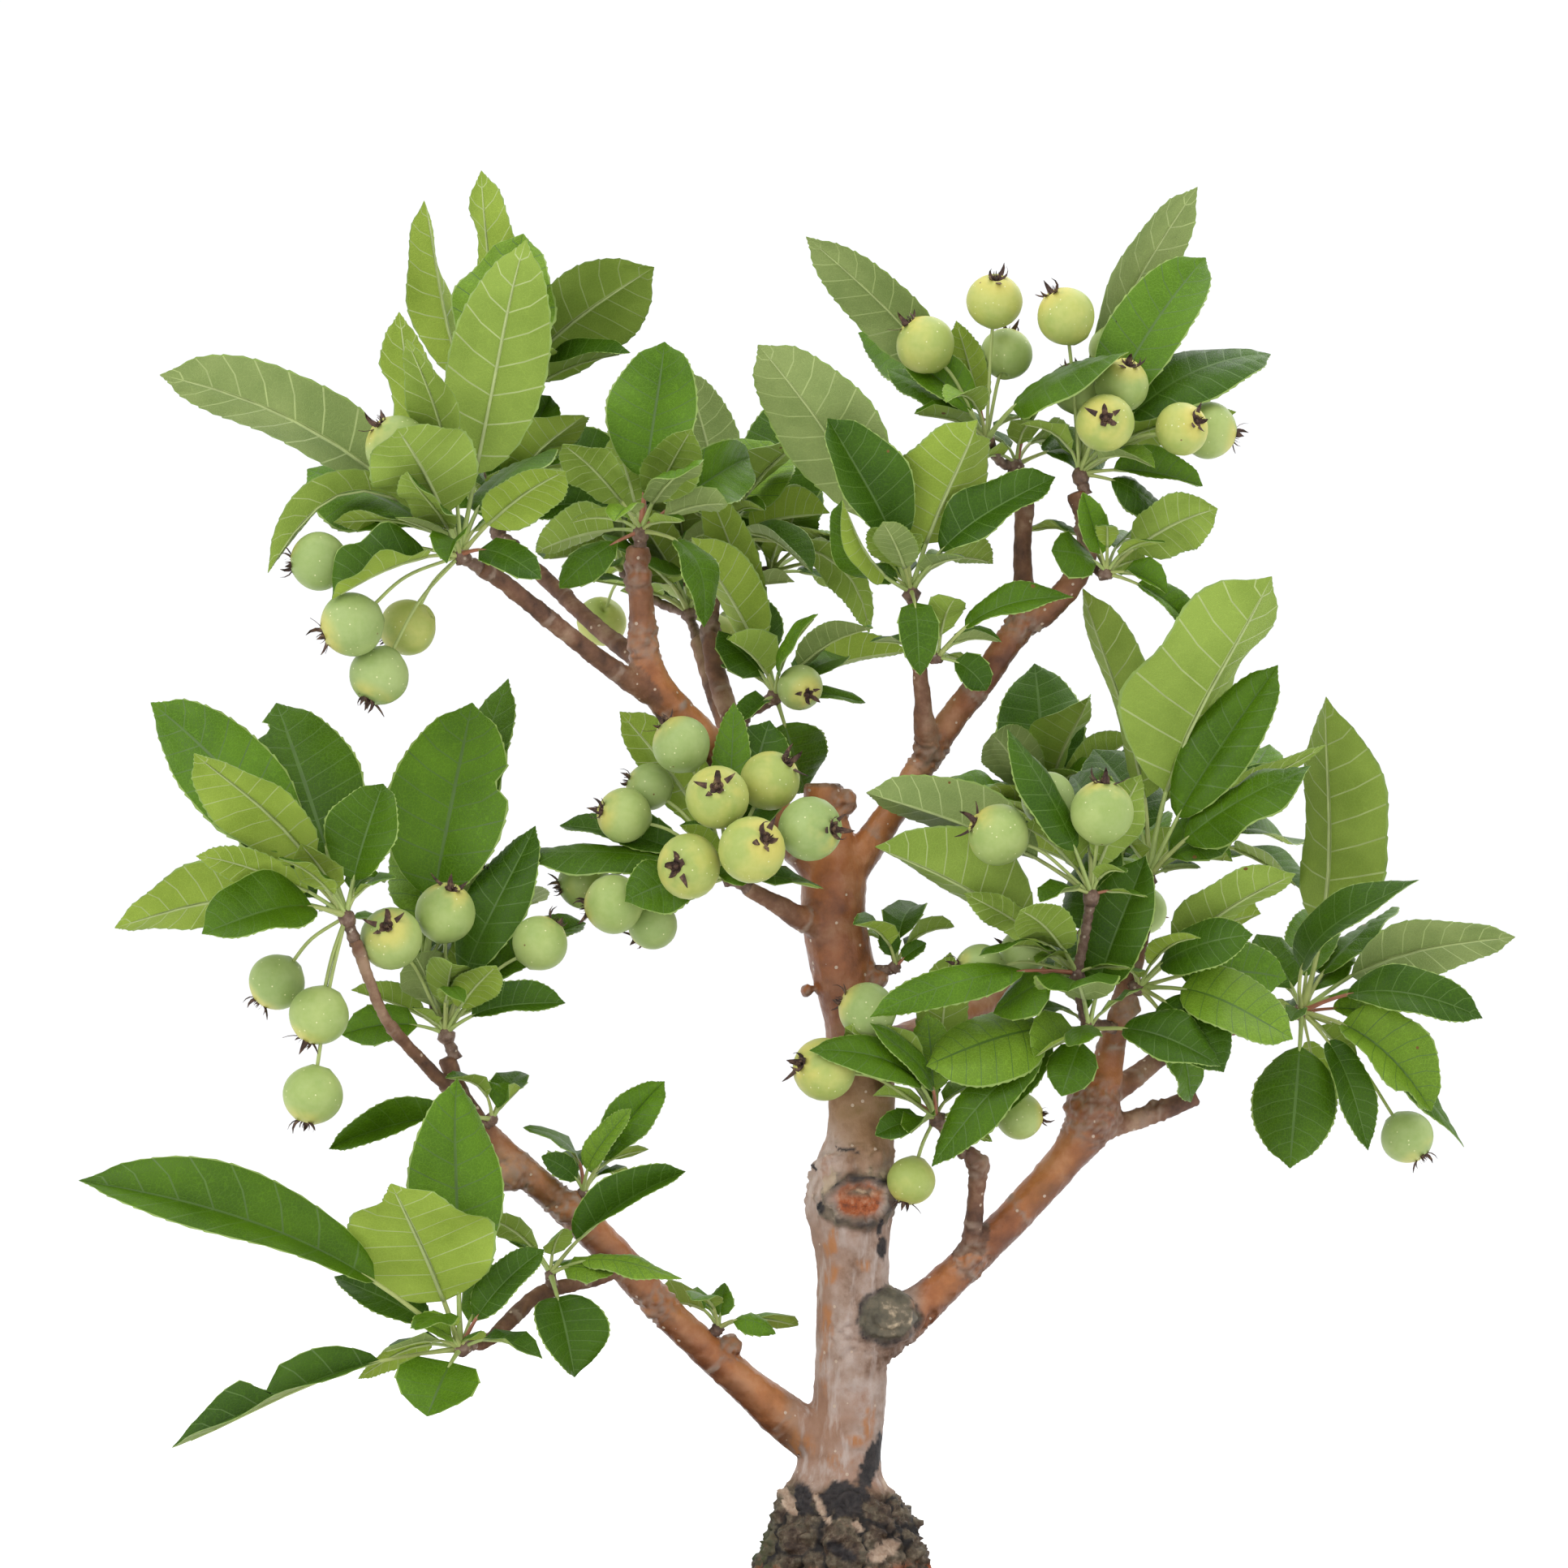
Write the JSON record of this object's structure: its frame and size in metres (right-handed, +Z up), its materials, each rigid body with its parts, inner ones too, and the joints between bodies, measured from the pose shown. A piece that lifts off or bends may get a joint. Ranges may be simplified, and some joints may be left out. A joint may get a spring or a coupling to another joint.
{
  "type": "bonsai tree",
  "caption": "Small apple bonsai in fruit: a leaning trunk with pruned boughs and open masses of leaves and little green apples, planted in a plain oval pot that stands on a table or stand.",
  "frame": {"origin": "middle of the pot's flat underside", "axes": "+Z up, +X to the right and -Y towards the reader of the picture"},
  "size_m": [0.4734, 0.2954, 0.5643],
  "materials": {
    "pot_stoneware": "unglazed matt stoneware",
    "soil": "matt grit",
    "bark": "satin bark, rougher at the foot",
    "leaf_green": "satin leaves and matt green apples"
  },
  "bodies": {
    "root": {"pot": "pot_stoneware", "soil": "soil", "trunk": "bark", "bough_lower_left": "bark", "bough_lower_right": "bark", "bough_upper_left": "bark", "bough_upper_right": "bark", "bough_rear_right": "bark", "bough_rear_left": "bark", "branch_left_front": "bark", "branch_left_rear": "bark", "branch_middle_rear": "bark", "branch_right_upright": "bark", "branch_middle_spur": "bark", "branch_low_right_cut": "bark", "branch_low_right_end": "bark", "stub_low_right": "bark", "trunk_spur": "bark", "branch_left_outer": "bark", "twig_lower_left": "bark", "foliage_upper_left": "leaf_green", "foliage_upper_left_rear": "leaf_green", "foliage_upper_middle": "leaf_green", "foliage_upper_middle_rear": "leaf_green", "foliage_inner": "leaf_green", "foliage_fruit_cluster": "leaf_green", "foliage_middle": "leaf_green", "foliage_middle_low": "leaf_green", "foliage_upper_right": "leaf_green", "foliage_upper_right_inner": "leaf_green", "foliage_right_side": "leaf_green", "foliage_right_upper": "leaf_green", "foliage_right_inner": "leaf_green", "foliage_right_middle": "leaf_green", "foliage_right_end": "leaf_green", "foliage_stub": "leaf_green", "foliage_left": "leaf_green", "foliage_left_outer": "leaf_green", "foliage_lower_left": "leaf_green", "foliage_low_sprig": "leaf_green", "foliage_bough_sprig": "leaf_green", "foliage_outer_sprig": "leaf_green", "foliage_tiny_sprig": "leaf_green", "foliage_trunk_sprig": "leaf_green", "foliage_rear_right": "leaf_green", "foliage_rear_left": "leaf_green"}
  },
  "joints": []
}
